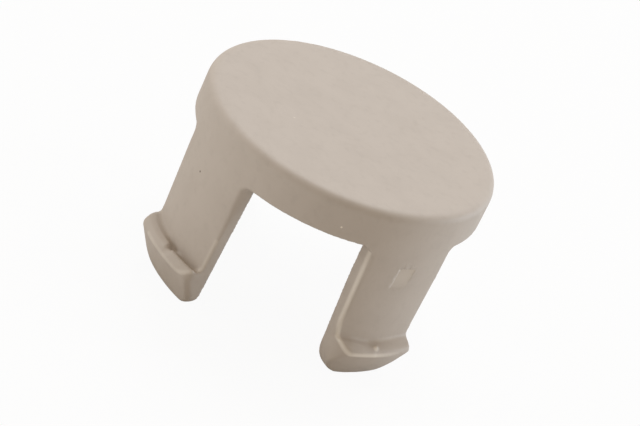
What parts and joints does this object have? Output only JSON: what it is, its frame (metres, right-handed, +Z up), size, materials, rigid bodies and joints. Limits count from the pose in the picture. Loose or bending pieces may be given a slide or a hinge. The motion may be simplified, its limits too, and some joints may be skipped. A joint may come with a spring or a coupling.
{
  "type": "bolt cover cap",
  "caption": "Round flat snap-in cover cap for a recessed bolt head: a short rim with spring legs below it that end in outward hooks.",
  "frame": {"origin": "on the cap's axis, at the level of the leg tips that it stands on", "axes": "+Z up the cap's axis, out of the top face; a gap between two legs faces -Y"},
  "size_m": [0.025, 0.025, 0.0159],
  "materials": {
    "beige_plastic": "fine matte, as moulded"
  },
  "bodies": {
    "root": {"cover_cap": "beige_plastic"}
  },
  "joints": []
}
